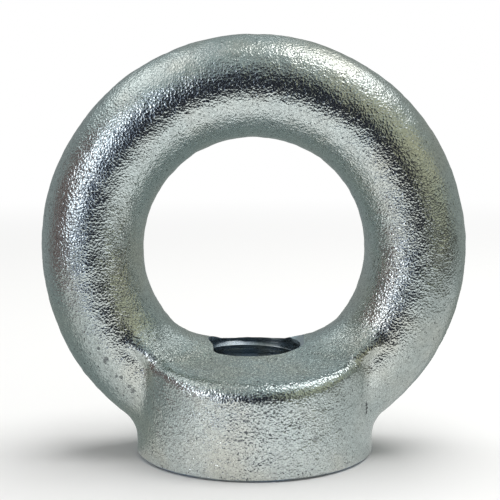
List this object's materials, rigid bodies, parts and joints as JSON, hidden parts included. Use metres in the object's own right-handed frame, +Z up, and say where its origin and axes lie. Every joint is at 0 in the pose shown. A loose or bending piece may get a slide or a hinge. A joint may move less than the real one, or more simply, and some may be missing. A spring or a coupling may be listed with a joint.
{
  "type": "lifting eye nut",
  "caption": "Drop-forged lifting ring on a round boss with a sloped top and a threaded hole up through the seating face.",
  "frame": {"origin": "centre of the threaded hole on the seating face", "axes": "+Z up along the thread towards the ring's crown; the ring stands in the XZ plane, and +Y points through the eye"},
  "size_m": [0.063, 0.0356, 0.062],
  "materials": {
    "zinc_plated_steel": "bright zinc plating over a fine shot-blasted forging grain; seat and thread machined"
  },
  "bodies": {
    "root": {"eye_nut": "zinc_plated_steel"}
  },
  "joints": []
}
